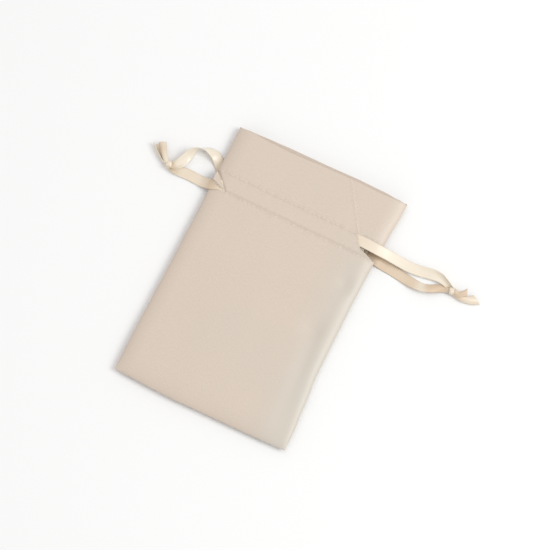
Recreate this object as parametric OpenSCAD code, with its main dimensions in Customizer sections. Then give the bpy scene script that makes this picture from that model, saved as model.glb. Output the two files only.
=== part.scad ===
// Satin drawstring gift sack, lying flat and empty with both ribbon drawstrings pulled out a little.
// Millimetres. +X is the sack's right, +Y runs to the mouth, +Z is up from the table.

/* [Sack] */
// Width laid flat
sack_w = 100; // [80:1:140]
// Length from the bottom to the mouth
sack_l = 150; // [120:1:200]
// Height over the front casing
sack_h = 6.8; // [6.6:0.1:10]
// Height of the side seams above the table
seam_z = 3; // [2.6:0.1:3.4]
// Width of the soft roll along the sides and the bottom
roll_w = 10; // [8:0.5:14]
// Thickness of the satin
cloth_t = 0.3; // [0.2:0.02:0.4]
// How far the middle of the front mouth edge sits back from its corners
mouth_dip = 3.5; // [1:0.5:6]

/* [Casing] */
// From the mouth to the upper stitch line
heading_l = 26.5; // [15:0.5:40]
// Between the two stitch lines
casing_w = 10.5; // [10:0.1:16]
// How far the hem runs on below the lower stitch line
hem_tail = 2.5; // [1:0.5:6]
// Room over the cupped ribbons in the front of the casing
front_room = 0.47; // [0.3:0.01:0.9]
// Room over the cupped ribbons in the back of the casing
back_room = 0.17; // [0.1:0.01:0.5]
// How far the front body stands above the heading
body_rise = 0.2; // [0:0.05:0.5]
// How far the casing's open ends sit in from the sides
notch_in = 2.7; // [2:0.1:4]
// Length of the slit on the right front, along the casing
slit_l = 15.5; // [10:0.5:20]

/* [Thread] */
// Thickness of a sewing thread
thread_t = 0.15; // [0.1:0.01:0.3]
// Width of a laid stitch
stitch_w = 0.4; // [0.2:0.05:0.6]
// From one stitch to the next
stitch_pitch = 3; // [2:0.1:4]
// Length of one stitch
stitch_len = 2.4; // [1:0.1:2.6]

/* [Ribbon] */
// Width of the ribbon
ribbon_w = 6; // [5:0.5:8]
// Thickness of the ribbon
ribbon_t = 0.25; // [0.15:0.05:0.3]
// Width of the ribbon where it is cupped inside the casing
lane_w = 4.5; // [3.6:0.1:4.6]
// Space between the two ribbons inside the casing
lane_gap = 0.2; // [0.1:0.05:0.4]
// Width of the ribbon where it bunches to turn round
bunch_w = 2.2; // [1.5:0.1:3]
// Radius of a knot
knot_r = 2.3; // [2:0.1:3]

/* [Hidden] */
$fn = 180;
MOUTH_Y = sack_l / 2;
HIGH_Y = MOUTH_Y - heading_l;
LOW_Y = HIGH_Y - casing_w;
MID_Y = (HIGH_Y + LOW_Y) / 2;
SIDE_X = sack_w / 2;
FLAT_X = SIDE_X - roll_w;
FOOT_Y = roll_w - sack_l / 2;
NOTCH_X = SIDE_X - notch_in;
HEM_END_X = FLAT_X + 1.2; // the hem stops here between the stitch lines, so that the ribbons can turn
LANE_END_X = FLAT_X + 2;  // a ribbon leaves its lane here
TURN_X = NOTCH_X - 1.1;   // middle of a ribbon where it turns round
PUCKER = 0.8;             // length of the slope beside a stitch line
EDGE = 0.3;               // cloth left between a stitch line and a casing end
LANE_Y = (lane_w + lane_gap) / 2;
CHAMFER = 0.3;            // share of the ribbon's thickness taken off each edge
CUPPED_T = ribbon_t * ribbon_w / lane_w;
FRONT_CHANNEL = CUPPED_T + front_room;
BACK_CHANNEL = CUPPED_T + back_room;
FAR = 2 * (sack_l + sack_w);

// Ends of the slanted opening under the slit on the right front
SLIT_TOP = [SIDE_X - slit_l - 2.6, HIGH_Y - EDGE - 1.6];
SLIT_FOOT = [SIDE_X - 6, LOW_Y + EDGE];

// Heights over the seam: the ridge over the ribbons, the heading, the body. The back's are measured down.
FRONT = [sack_h - seam_z, sack_h - seam_z - FRONT_CHANNEL, sack_h - seam_z - FRONT_CHANNEL + body_rise];
BACK = [seam_z, seam_z - BACK_CHANNEL, seam_z];

// The free ribbon's routes, in the order in which each ribbon runs: from its knot to its front slit, then
// from its back slit to its knot. Rows hold x and y from the casing's end on that side, z above the table,
// roll and width. A turn of 180 in the roll is the ribbon's other face. The front routes climb to a sack
// ROUTE_H high between CLIMB[1] and CLIMB[0] outside its edge, and to a higher or lower one in step.
ROUTE_H = 6.8;
CLIMB = [2, 12];
LEFT_FRONT_ROUTE = [
    [-26.2, -3.8, 1.9, 0, 3], [-24.2, -4.4, 1.7, 0, 3.6], [-21.8, -4.5, 1.3, 0, 4.8], [-18.4, -4, 0.8, 0, 5.8],
    [-14.5, -3.7, 0.5, 0, 6], [-10.5, -3.8, 0.5, 0, 6], [-6.5, -4, 0.9, 0, 6], [-3, -4.1, 2.4, 0, 6],
    [-0.6, -3.9, 4.2, 0, 6], [2, -3.3, 5.4, 0, 5.6], [4.6, -2.4, 6.1, 0, 4.6]];
LEFT_BACK_ROUTE = [
    [5, 2.8, 0.25, 180, 4.3], [2.8, 4.2, 0.25, 180, 5], [0.6, 6.4, 0.3, 180, 5.8], [-1.6, 9, 0.6, 180, 6],
    [-4.2, 11.4, 1.4, 190, 6], [-7.2, 12.8, 2.3, 208, 6], [-10.5, 13, 2.9, 230, 6], [-13.6, 12, 3.3, 255, 6],
    [-16, 10.2, 3.4, 280, 6], [-17.6, 7.6, 3.3, 305, 6], [-18.8, 4.4, 3.1, 325, 6], [-20.2, 1, 2.8, 340, 5.6],
    [-22, -2, 2.8, 350, 4.4], [-24, -3.4, 2.9, 360, 3.2], [-26, -3.6, 2.8, 360, 2.8]];
RIGHT_FRONT_ROUTE = [
    [41.6, 1, 2.7, -15, 3], [38, 2.8, 3, -25, 4], [34, 4, 2.8, -25, 5.2], [29, 3.8, 2.2, -18, 6],
    [23, 2.8, 1.7, -8, 6], [17, 2.2, 1.9, 0, 6], [11, 2.3, 2.6, 0, 6], [5, 2.5, 3.8, 0, 6],
    [0, 2.4, 5.2, 0, 6], [-4, 2.3, 6.3, 0, 6], [-8, 2.4, 6.9, 0, 6], [-12.6, 2.7, 6.6, -6, 5.4]];
RIGHT_BACK_ROUTE = [
    [-0.8, -2.3, 1.3, 180, 5], [3, -2.8, 0.7, 180, 6], [8, -3.2, 0.4, 180, 6], [13, -3.8, 0.4, 180, 6],
    [18, -4.5, 0.6, 172, 6], [22.5, -5, 1.2, 162, 6], [27, -5, 1.9, 152, 6], [31, -3.8, 2.2, 155, 5.6],
    [34.5, -2, 2, 165, 5], [38, -0.4, 1.7, 172, 4], [41.6, 0.2, 1.8, 180, 3]];

// Knot centres, measured in the same way, and the directions in which their tails leave
LEFT_KNOT = [-26.6, -3.2];
LEFT_KNOT_TURN = 150;
RIGHT_KNOT = [43, 0.6];
RIGHT_KNOT_TURN = -20;

// The tails, from their knot to the cut end
LEFT_LONG_TAIL = [
    [-27.4, -2.6, 2.2, 60, 2.6], [-30, -1.6, 1.7, 60, 3.6], [-32.4, -0.2, 1.9, 50, 4.4],
    [-34.8, 1.4, 2, 40, 5], [-37, 3, 2.1, 40, 5]];
LEFT_FLAT_TAIL = [
    [-27.2, -2.2, 3.2, 0, 2.6], [-29.4, 0.2, 3.1, 0, 3.6], [-31.4, 2.4, 3.2, -10, 4.6],
    [-33.2, 4.4, 3.6, -20, 5.4], [-34.6, 6, 4, -20, 5.6]];
RIGHT_SHORT_TAIL = [
    [44.4, 0.4, 3.2, 30, 2.6], [47, -0.4, 3.4, 50, 3.6], [49, 0.8, 3.6, 70, 4.6], [50.6, 2.6, 3.8, 60, 5]];
RIGHT_FLAT_TAIL = [
    [44.2, 0, 1.6, 0, 2.6], [47, -1.2, 1.2, 20, 3.6], [50, -1.4, 1.4, 30, 4.6], [53, -0.4, 1.6, 25, 5.4],
    [56.4, 1, 1.6, 15, 6]];

// ---- Cloth ----

// Extrudes an x-z outline over a stretch of y
module along_y(y0, y1) {
    translate([0, y1, 0]) rotate([90, 0, 0]) linear_extrude(y1 - y0) children();
}

// Extrudes a y-z outline over a stretch of x
module along_x(x0, x1) {
    translate([x0, 0, 0]) rotate([90, 0, 90]) linear_extrude(x1 - x0) children();
}

// Keeps what lies above the seam's level in an outline
module over_seam() {
    intersection() {
        children();
        translate([-FAR, 0]) square([2 * FAR, FAR]);
    }
}

function roll_r(h) = (roll_w * roll_w + h * h) / (2 * h);

// Outline across the sack: flat in the middle, with a soft roll down to the seam at each side
module across(h, inset) {
    over_seam() union() {
        translate([-FLAT_X, 0]) square([2 * FLAT_X, h - inset]);
        for (side = [-1, 1]) translate([side * FLAT_X, h - roll_r(h)]) circle(roll_r(h) - inset);
    }
}

// Outline along the sack: a roll at the bottom, the body, the ridge over the ribbons, and the heading
module lengthwise(heights, inset) {
    ridge = heights[0] - inset;
    head = heights[1] - inset;
    body = heights[2] - inset;
    over_seam() union() {
        translate([FOOT_Y, heights[2] - roll_r(heights[2])]) circle(roll_r(heights[2]) - inset);
        polygon([
            [FOOT_Y, 0], [FOOT_Y, body], [LOW_Y - PUCKER, body], [LOW_Y - stitch_w / 2, head],
            [LOW_Y + stitch_w / 2, head], [LOW_Y + PUCKER, ridge], [HIGH_Y - PUCKER, ridge],
            [HIGH_Y - stitch_w / 2, head], [FAR, head], [FAR, 0]]);
    }
}

// One half of the sack as a filled form, with its surface moved in by inset
module half(heights, inset) {
    intersection() {
        along_y(-FAR, FAR) across(heights[0], inset);
        along_x(-FAR, FAR) lengthwise(heights, inset);
    }
}

// Puts a half drawn upwards from the seam in its place, the front up and the back down
module placed(heights) {
    translate([0, 0, seam_z]) mirror([0, 0, heights == BACK ? 1 : 0]) children();
}

// The layer between two insets of one half
module layer(heights, outer, inner) {
    difference() {
        half(heights, outer);
        half(heights, inner);
    }
}

function hem_heights(heights) = [heights[0], heights[1], heights[1]];

// The turned-down hem, flat where the outer cloth rises over the ribbons
module hem(heights) {
    level = heights[1];
    difference() {
        intersection() {
            along_y(LOW_Y - hem_tail, FAR) across(heights[0], cloth_t);
            translate([-FAR, -FAR, 0]) cube([2 * FAR, 2 * FAR, level - cloth_t]);
        }
        intersection() {
            along_y(-FAR, FAR) across(heights[0], 2 * cloth_t);
            translate([-FAR, -FAR, -1]) cube([2 * FAR, 2 * FAR, level - 2 * cloth_t + 1]);
        }
        for (side = [-1, 1])
            translate([side * (HEM_END_X + FAR / 2), MID_Y, 0])
                cube([FAR, casing_w - 2 * EDGE, FAR], center = true);
    }
}

// Cuts the open casing ends that the ribbons come out of
module casing_ends() {
    for (side = [-1, 1])
        translate([side * (NOTCH_X + FAR / 2), MID_Y, seam_z])
            cube([FAR, casing_w - 2 * EDGE, FAR], center = true);
}

// Opening under the slit that runs slantwise over the right front of the casing
module right_slit() {
    translate([0, 0, seam_z]) linear_extrude(FAR) polygon([
        [SLIT_TOP[0], HIGH_Y - EDGE], SLIT_TOP, SLIT_FOOT, [FAR, LOW_Y + EDGE], [FAR, HIGH_Y - EDGE]]);
}

// Openings under the left end of the casing, half its width in front and all of it behind
module left_front_slit() {
    translate([-FAR, LOW_Y + EDGE, seam_z]) cube([FAR - FLAT_X - 2.4, casing_w / 2 - EDGE + 0.1, FAR]);
}

module left_back_slit() {
    translate([-FAR, LOW_Y + EDGE, -FAR]) cube([FAR - FLAT_X - 1.5, casing_w - 2 * EDGE, FAR + seam_z]);
}

module front_panel() {
    corner_x = SIDE_X - 1;
    dip_r = (corner_x * corner_x + mouth_dip * mouth_dip) / (2 * mouth_dip);
    color("#d9cbba") difference() {
        placed(FRONT) union() {
            layer(FRONT, 0, cloth_t);
            hem(FRONT);
        }
        translate([-FAR, MOUTH_Y, -FAR]) cube(2 * FAR);
        translate([0, MOUTH_Y - mouth_dip + dip_r, -FAR]) cylinder(h = 2 * FAR, r = dip_r);
        casing_ends();
        right_slit();
        left_front_slit();
    }
}

module back_panel() {
    color("#cfc0ae") difference() {
        placed(BACK) union() {
            layer(BACK, 0, cloth_t);
            hem(BACK);
        }
        translate([-FAR, MOUTH_Y, -FAR]) cube(2 * FAR);
        casing_ends();
        left_back_slit();
    }
}

// ---- Sewing ----

// A row of stitch blanks along x from x0 to x1 at y
module stitch_row(x0, x1, y) {
    for (i = [0 : floor((x1 - x0) / stitch_pitch) - 1])
        translate([x0 + (i + 0.5) * stitch_pitch - stitch_len / 2, y - stitch_w / 2, -FAR])
            cube([stitch_len, stitch_w, 2 * FAR]);
}

// Thread laid on the outer face of one half, within the blanks
module laid_thread(heights) {
    placed(heights) intersection() {
        layer(heights, -thread_t, 0);
        children();
    }
}

module casing_stitch(heights, x0, x1, y) {
    color("#e8dfd2") laid_thread(heights) stitch_row(x0, x1, y);
}

module front_upper_stitch() { casing_stitch(FRONT, 1.5 - SIDE_X, SLIT_TOP[0] - 0.5, HIGH_Y); }
module front_lower_stitch() { casing_stitch(FRONT, 6 - SIDE_X, SIDE_X - 1.5, LOW_Y); }
module back_upper_stitch() { casing_stitch(BACK, 9 - SIDE_X, SIDE_X - 1.5, HIGH_Y); }
module back_lower_stitch() { casing_stitch(BACK, 1.5 - SIDE_X, SIDE_X - 1.5, LOW_Y); }

// The narrow tip of the space between two insets of the halves, where the side and bottom seams are sewn
module seam_tip(inset) {
    union() {
        placed(FRONT) half(FRONT, inset);
        placed(BACK) half(BACK, inset);
    }
}

// How far from the middle a half's inner face meets the seam, where its outer face does at out
function tip(out, h, inset) = out - roll_w + sqrt(pow(roll_r(h) - inset, 2) - pow(roll_r(h) - h, 2));

module side_seam(side, y0, y1, inset) {
    seam_x = min(tip(SIDE_X, FRONT[0], inset), tip(SIDE_X, BACK[0], inset));
    color("#e8dfd2") intersection() {
        seam_tip(inset);
        translate([side * seam_x, 0, seam_z]) for (i = [0 : floor((y1 - y0) / stitch_pitch) - 1])
            translate([0, y0 + (i + 0.5) * stitch_pitch, 0])
                cube([2 * stitch_w, stitch_len, 2], center = true);
    }
}

module left_side_seam() { side_seam(-1, 4 - sack_l / 2, LOW_Y - hem_tail, cloth_t); }
module right_side_seam() { side_seam(1, 4 - sack_l / 2, LOW_Y - hem_tail, cloth_t); }
module left_heading_seam() { side_seam(-1, HIGH_Y, MOUTH_Y - 1, 2 * cloth_t); }

module bottom_seam() {
    seam_y = min(tip(sack_l / 2, FRONT[2], cloth_t), tip(sack_l / 2, BACK[2], cloth_t));
    color("#e8dfd2") intersection() {
        seam_tip(cloth_t);
        translate([0, -seam_y, seam_z]) for (i = [0 : floor((sack_w - 8) / stitch_pitch) - 1])
            translate([4 - SIDE_X + (i + 0.5) * stitch_pitch, 0, 0])
                cube([stitch_len, 2 * stitch_w, 2], center = true);
    }
}

// On the right the seam has turned on to the front, and runs slantwise up the heading
module right_heading_seam() {
    foot = [SIDE_X - slit_l - 1, HIGH_Y + 1];
    run = [-heading_l * 0.62, heading_l - 5];
    count = floor(norm(run) / stitch_pitch);
    color("#e8dfd2") laid_thread(FRONT) for (i = [0 : count - 1])
        translate([foot[0], foot[1], 0] + [run[0], run[1], 0] * (i + 0.5) / count)
            rotate([0, 0, atan2(run[1], run[0])]) cube([stitch_len, stitch_w, FAR], center = true);
}

// Whipped stitches over the slanted edge of the right slit
module right_slit_edging() {
    run = SLIT_FOOT - SLIT_TOP;
    off = [run[1], -run[0]] / norm(run);
    color("#f0e8da") laid_thread(FRONT) for (i = [0 : 5])
        translate(concat(SLIT_TOP + run * (i + 0.5) / 6.5 + off, 0))
            rotate([0, 0, atan2(off[1], off[0])]) cube([1.2, stitch_w, FAR], center = true);
}

// Whipped stitches beside the left casing end
module left_slit_edging() {
    color("#f0e8da") laid_thread(FRONT) for (i = [0 : 2])
        translate([1 - NOTCH_X, MID_Y + 1 + i * casing_w / 8, 0])
            cube([1.2, stitch_w, FAR], center = true);
}

// ---- Ribbons ----

function unit(v) = v / norm(v);

// Eight corners of a ribbon's section at row i. A bunched ribbon is as much thicker as it is narrower.
function ring(rows, i) =
    let(
        row = rows[i],
        at = [row[0], row[1], row[2]],
        before = rows[max(i - 1, 0)],
        after = rows[min(i + 1, len(rows) - 1)],
        ahead = unit([after[0] - before[0], after[1] - before[1], after[2] - before[2]]),
        level = unit(cross([0, 0, 1], ahead)),
        side = level * cos(row[3]) + cross(ahead, level) * sin(row[3]),
        face = cross(ahead, side),
        w = row[4] / 2,
        t = ribbon_t * ribbon_w / row[4] / 2,
        c = CHAMFER * 2 * t)
    [for (p = [[w, c - t], [w, t - c], [w - c, t], [c - w, t], [-w, t - c], [-w, c - t], [c - w, -t], [w - c, -t]])
        at + side * p[0] + face * p[1]];

// Sweeps the ribbon's section through rows first to last. Both faces of a twisted stretch are cut along
// the same diagonal, so that they stay apart.
module strip(rows, first, last) {
    n = last - first;
    polyhedron(
        points = [for (i = [first : last]) each ring(rows, i)],
        faces = concat(
            [[for (k = [0 : 7]) k]],
            [[for (k = [7 : -1 : 0]) 8 * n + k]],
            [for (i = [0 : n - 1], k = [0 : 7]) each
                let(a = 8 * i + k, b = 8 * i + (k + 1) % 8)
                k < 4 ? [[a, b + 8, b], [a, a + 8, b + 8]] : [[a, a + 8, b], [b, a + 8, b + 8]]]));
}

// Height of the middle of a channel at x, on the front or the back
function lane_z(heights, x) =
    let(
        channel = heights == BACK ? BACK_CHANNEL : FRONT_CHANNEL,
        r = roll_r(heights[0]) - cloth_t - channel / 2,
        v = heights[0] - roll_r(heights[0]) + sqrt(r * r - pow(max(abs(x) - FLAT_X, 0), 2)))
    heights == BACK ? seam_z - v : seam_z + v;

function lane(heights, xs, y, roll) = [for (x = xs) [x, y, lane_z(heights, x), roll, lane_w]];

// How much of a change in the sack's height a front route's row takes up, by its distance outside the edge
function climb(out) = max(0, min(1, (CLIMB[1] - out) / (CLIMB[1] - CLIMB[0])));

// A front route raised or lowered with the sack
function climbed(route, s) = [for (p = route)
    [p[0], p[1], p[2] + (sack_h - ROUTE_H) * climb(s * p[0]), p[3], p[4]]];

// A route moved to the casing's end on side s
function moved(route, s) = [for (p = route) [s * SIDE_X + p[0], MID_Y + p[1], p[2], p[3], p[4]]];

// All rows of the ribbon that leaves on side s: in along the front, round at the far end, and out at the back
function ribbon_rows(s, front_route, front_xs, back_xs, back_route) =
    let(
        front_y = MID_Y + s * LANE_Y,
        back_y = MID_Y - s * LANE_Y,
        near_x = -s * (LANE_END_X + 2 * TURN_X) / 3,
        front_z = lane_z(FRONT, TURN_X),
        back_z = lane_z(BACK, TURN_X),
        half_w = (lane_w + bunch_w) / 2)
    concat(
        moved(climbed(front_route, s), s),
        lane(FRONT, front_xs, front_y, 0),
        [[near_x, front_y - s * 0.6, front_z, 20, half_w],
         [-s * TURN_X, MID_Y, (front_z + back_z) / 2, 90, bunch_w],
         [near_x, back_y + s * 0.6, back_z, 160, half_w]],
        lane(BACK, back_xs, back_y, 180),
        moved(back_route, s));

LEFT_ROWS = ribbon_rows(
    -1, LEFT_FRONT_ROUTE, [-LANE_END_X, -FLAT_X, 0, FLAT_X, LANE_END_X],
    [LANE_END_X, FLAT_X, 0, -FLAT_X, -LANE_END_X], LEFT_BACK_ROUTE);
RIGHT_ROWS = ribbon_rows(
    1, RIGHT_FRONT_ROUTE, [SLIT_TOP[0] - 0.4, 0, -FLAT_X, -LANE_END_X],
    [-LANE_END_X, -FLAT_X, 0, FLAT_X, LANE_END_X, NOTCH_X], RIGHT_BACK_ROUTE);
LEFT_IN = len(LEFT_FRONT_ROUTE);
LEFT_OUT = len(LEFT_ROWS) - len(LEFT_BACK_ROUTE) - 1;
RIGHT_IN = len(RIGHT_FRONT_ROUTE);
RIGHT_OUT = len(RIGHT_ROWS) - len(RIGHT_BACK_ROUTE) - 1;

module left_ribbon_run() { color("#ece0cb") strip(LEFT_ROWS, LEFT_IN, LEFT_OUT); }
module left_front_strand() { color("#ece0cb") strip(LEFT_ROWS, 0, LEFT_IN); }
module left_back_strand() { color("#ece0cb") strip(LEFT_ROWS, LEFT_OUT, len(LEFT_ROWS) - 1); }
module right_ribbon_run() { color("#ece0cb") strip(RIGHT_ROWS, RIGHT_IN, RIGHT_OUT); }
module right_front_strand() { color("#ece0cb") strip(RIGHT_ROWS, 0, RIGHT_IN); }
module right_back_strand() { color("#ece0cb") strip(RIGHT_ROWS, RIGHT_OUT, len(RIGHT_ROWS) - 1); }

// An overhand knot: two turns of ribbon side by side round a core that lies towards the tails
module knot(at, s, turn) {
    turn_r = knot_r / 2;
    color("#e4d6c0") translate([s * SIDE_X + at[0], MID_Y + at[1], knot_r])
        rotate([0, 90, turn]) rotate_extrude($fn = 32) {
            for (z = [-0.8, 0.8]) translate([turn_r, z * turn_r]) circle(turn_r, $fn = 32);
            translate([0, -1.6 * turn_r]) square([turn_r, 3.2 * turn_r]);
        }
}

module left_knot() { knot(LEFT_KNOT, -1, LEFT_KNOT_TURN); }
module right_knot() { knot(RIGHT_KNOT, 1, RIGHT_KNOT_TURN); }

module tail(route, s) { color("#ece0cb") strip(moved(route, s), 0, len(route) - 1); }

module left_long_tail() { tail(LEFT_LONG_TAIL, -1); }
module left_flat_tail() { tail(LEFT_FLAT_TAIL, -1); }
module right_short_tail() { tail(RIGHT_SHORT_TAIL, 1); }
module right_flat_tail() { tail(RIGHT_FLAT_TAIL, 1); }

front_panel();
back_panel();
front_upper_stitch();
front_lower_stitch();
back_upper_stitch();
back_lower_stitch();
left_side_seam();
right_side_seam();
left_heading_seam();
right_heading_seam();
bottom_seam();
left_slit_edging();
right_slit_edging();
left_ribbon_run();
left_front_strand();
left_back_strand();
left_knot();
left_long_tail();
left_flat_tail();
right_ribbon_run();
right_front_strand();
right_back_strand();
right_knot();
right_short_tail();
right_flat_tail();
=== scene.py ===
"""A flat satin gift sack with two ribbon drawstrings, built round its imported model.

Each piece of the sack is made by its own operator, in metres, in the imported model's frame: +X is the
sack's right, +Y runs to its mouth and +Z is up from the table.
"""

import math

import bmesh
import bpy
from bpy.props import FloatProperty, FloatVectorProperty, IntProperty, PointerProperty
from bpy.types import Operator, Panel, PropertyGroup
from mathutils import Matrix, Vector, noise


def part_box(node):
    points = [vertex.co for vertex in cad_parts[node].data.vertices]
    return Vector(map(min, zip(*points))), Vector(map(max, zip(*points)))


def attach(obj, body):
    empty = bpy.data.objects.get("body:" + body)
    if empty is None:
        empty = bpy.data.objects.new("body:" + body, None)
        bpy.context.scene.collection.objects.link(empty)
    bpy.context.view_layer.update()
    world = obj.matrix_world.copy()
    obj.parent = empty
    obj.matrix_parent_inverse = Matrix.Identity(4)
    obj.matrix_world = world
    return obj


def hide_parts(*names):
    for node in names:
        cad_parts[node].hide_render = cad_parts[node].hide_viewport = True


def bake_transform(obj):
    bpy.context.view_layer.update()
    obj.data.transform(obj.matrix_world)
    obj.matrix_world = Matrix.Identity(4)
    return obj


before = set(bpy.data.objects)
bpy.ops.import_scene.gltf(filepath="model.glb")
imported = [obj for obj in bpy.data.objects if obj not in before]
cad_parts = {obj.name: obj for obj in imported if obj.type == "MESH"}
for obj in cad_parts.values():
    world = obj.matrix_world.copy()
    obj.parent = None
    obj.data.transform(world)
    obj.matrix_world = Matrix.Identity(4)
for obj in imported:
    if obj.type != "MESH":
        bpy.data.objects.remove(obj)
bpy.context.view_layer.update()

bl_info = {
    "name": "Satin gift sack",
    "version": (1, 0, 0),
    "blender": (4, 5, 0),
    "location": "View3D > Sidebar > Gift sack",
    "description": "Builds a flat satin gift sack with ribbon drawstrings",
    "category": "Add Mesh",
}

MM = 0.001

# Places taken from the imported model
BACK_LOW, BACK_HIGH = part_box("back_panel")
SIDE_X = BACK_HIGH.x
MOUTH_Y = BACK_HIGH.y
BOTTOM_Y = BACK_LOW.y
SEAM_Z = BACK_HIGH.z


def middle_y(node):
    """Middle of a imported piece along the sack's length."""
    low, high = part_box(node)
    return (low.y + high.y) / 2


LOW_Y = middle_y("front_lower_stitch")
HIGH_Y = middle_y("front_upper_stitch")
MID_Y = (LOW_Y + HIGH_Y) / 2

ROOT = "sack"
SIDE_NAME = {-1: "left", 1: "right"}

# The free ribbon's routes. Rows hold x and y from the casing's end on that side, z above the table, roll
# in degrees, width, and how much painted shade the ribbon gets there where its sheen turns away from the
# light, with lengths in millimetres.
LEFT_FRONT_ROUTE = [
    (-26.2, -3.8, 1.9, 0, 3, 0.5),
    (-24.2, -4.4, 1.7, 0, 3.6, 0.35),
    (-21.8, -4.5, 1.3, 0, 4.8, 0.3),
    (-18.4, -4, 0.8, 0, 5.8, 0.3),
    (-14.5, -3.7, 0.5, 0, 6, 0.4),
    (-10.5, -3.8, 0.5, 0, 6, 0.35),
    (-6.5, -4, 0.9, 0, 6, 0.35),
    (-3, -4.1, 2.4, 0, 6, 0.6),
    (-0.6, -4, 4.2, 0, 6, 0.9),
    (2, -3.4, 5.3, 0, 6, 0.75),
    (4.6, -2.4, 5.6, 0, 6, 0.5),
    (8.5, -2.2, 5.6, 0, 6, 0.4),
]
LEFT_BACK_ROUTE = [
    (8.5, 2.3, 0.6, 180, 5.6, 0.9),
    (5, 2.8, 0.5, 180, 5.8, 0.9),
    (2.8, 4.2, 0.42, 180, 6, 0.9),
    (0.6, 6.4, 0.42, 180, 5.8, 0.7),
    (-1.6, 9, 0.6, 180, 6, 0.35),
    (-4.2, 11.4, 1.4, 190, 6, 0.15),
    (-7.2, 12.8, 2.3, 208, 6, 0.05),
    (-10.5, 13, 2.9, 230, 6, 0),
    (-13.6, 12, 3.3, 255, 6, 0),
    (-16, 10.2, 3.4, 280, 6, 0.05),
    (-17.6, 7.6, 3.3, 305, 6, 0),
    (-18.8, 4.4, 3.1, 325, 6, 0),
    (-20.2, 1, 2.8, 340, 5.6, 0),
    (-22, -2, 2.8, 350, 4.4, 0.2),
    (-24, -3.4, 2.9, 360, 3.2, 0.6),
    (-26, -3.6, 2.8, 360, 2.8, 0.8),
]
RIGHT_FRONT_ROUTE = [
    (41.6, 1, 2.7, -15, 3, 0.1),
    (38, 2.8, 3, -25, 4, 0.05),
    (34, 4, 2.8, -25, 5.2, 0),
    (29, 3.8, 2.2, -18, 6, 0.05),
    (23, 2.8, 1.7, -8, 6, 0.1),
    (17, 2.2, 1.9, 0, 6, 0.1),
    (11, 2.3, 2.6, 0, 6, 0.05),
    (5, 2.5, 3.8, 0, 6, 0.1),
    (0, 2.4, 5.2, 0, 6, 0.2),
    (-4, 2.3, 6.2, 0, 6, 0.3),
    (-8, 2.4, 6.6, 0, 6, 0.3),
    (-12.6, 2.6, 6.3, 0, 6, 0.35),
    (-17.5, 2.3, 5.7, 0, 6, 0.4),
]
RIGHT_BACK_ROUTE = [
    (-7.5, -2.1, 0.7, 180, 6, 0.9),
    (-4.5, -2.2, 0.9, 180, 6, 0.9),
    (-0.8, -2.3, 1.3, 180, 6, 0.9),
    (3, -2.8, 0.7, 180, 6, 0.9),
    (8, -3.2, 0.4, 180, 6, 0.8),
    (13, -3.8, 0.4, 180, 6, 0.75),
    (18, -4.5, 0.6, 172, 6, 0.8),
    (22.5, -5, 1.2, 162, 6, 0.7),
    (27, -5, 1.9, 152, 6, 0.2),
    (31, -3.8, 2.2, 155, 5.6, 0.9),
    (34.5, -2, 2, 165, 5, 1),
    (38, -0.4, 1.7, 172, 4, 1),
    (41.6, 0.2, 1.8, 180, 3, 0.9),
]
LEFT_LONG_TAIL = [
    (-27.6, -3.2, 1.9, 20, 2.2, 0.3),
    (-30.3, -2, 1.8, 20, 2.3, 0.3),
    (-33.4, 0.3, 1.8, 25, 2.5, 0.4),
    (-35.4, 2.1, 1.8, 20, 2.9, 0.2),
    (-37.4, 4.1, 1.8, 15, 3.3, 0.1),
]
LEFT_FLAT_TAIL = [
    (-27.4, -3.2, 2.8, 0, 2.1, 0.2),
    (-29.3, -1.5, 3, -5, 2.3, 0.3),
    (-31, 0.6, 3.1, -8, 2.9, 0.5),
    (-32.6, 2.8, 3.3, -10, 3.6, 0.7),
    (-34.8, 5.8, 3.6, -12, 4.2, 0.5),
]
RIGHT_SHORT_TAIL = [
    (44.4, 0.4, 3.2, 30, 2.4, 0.7),
    (47.2, -0.6, 3.3, 45, 2.8, 0.9),
    (49.2, 0.6, 3.5, 55, 3.4, 0.9),
    (50.7, 2.3, 3.7, 50, 3.8, 0.8),
]
RIGHT_FLAT_TAIL = [
    (44.2, 0, 1.6, 0, 2.6, 0.5),
    (47, -1, 1.7, 20, 2.8, 0.7),
    (50, -1.3, 2, 30, 3.2, 0.4),
    (53.2, -0.7, 2, 25, 4.2, 0.3),
    (55.1, 0.4, 1.9, 15, 5, 0.4),
    (57, 1.8, 1.7, 5, 5.6, 0.4),
]
# Where each knot lies, measured in the same way, and the direction in which its tails leave, in degrees
KNOT_PLACE = {-1: (-26.4, -3.7, 2.2), 1: (43.4, 0.3, 2.2)}
KNOT_TURN = {-1: 150, 1: -20}
# Where the loop's two ends meet inside each knot, and the ribbon's width there
KNOT_HEART = {-1: (-26.8, -3.7, 2.3), 1: (43.8, 0.3, 2.3)}
HEART_WIDTH = 2.8
# Half sizes of the knot's bunched core, and of the ring that its bands follow
CORE_SIZE = (0.0024, 0.0016, 0.0014)
BAND_RING = (0.00185, 0.00165)
# The two bands round the knot: lean in degrees, place along the knot, size, ribbon width and share of
# painted shade
BANDS = ((32, -0.0004, 1.0, 0.0034, 0.15), (-38, 0.0005, 0.93, 0.0030, 0.6))
BAND_STEPS = 36

# The tails of each side: piece, route, how far the slanted cut reaches and which way the tail curls
TAILS = {
    -1: (
        ("left_long_tail", LEFT_LONG_TAIL, 0.0024, -1),
        ("left_flat_tail", LEFT_FLAT_TAIL, 0.0007, 1),
    ),
    1: (
        ("right_short_tail", RIGHT_SHORT_TAIL, 0.0026, 1),
        ("right_flat_tail", RIGHT_FLAT_TAIL, -0.0024, 1),
    ),
}
ROUTES = {-1: (LEFT_FRONT_ROUTE, LEFT_BACK_ROUTE), 1: (RIGHT_FRONT_ROUTE, RIGHT_BACK_ROUTE)}

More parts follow.
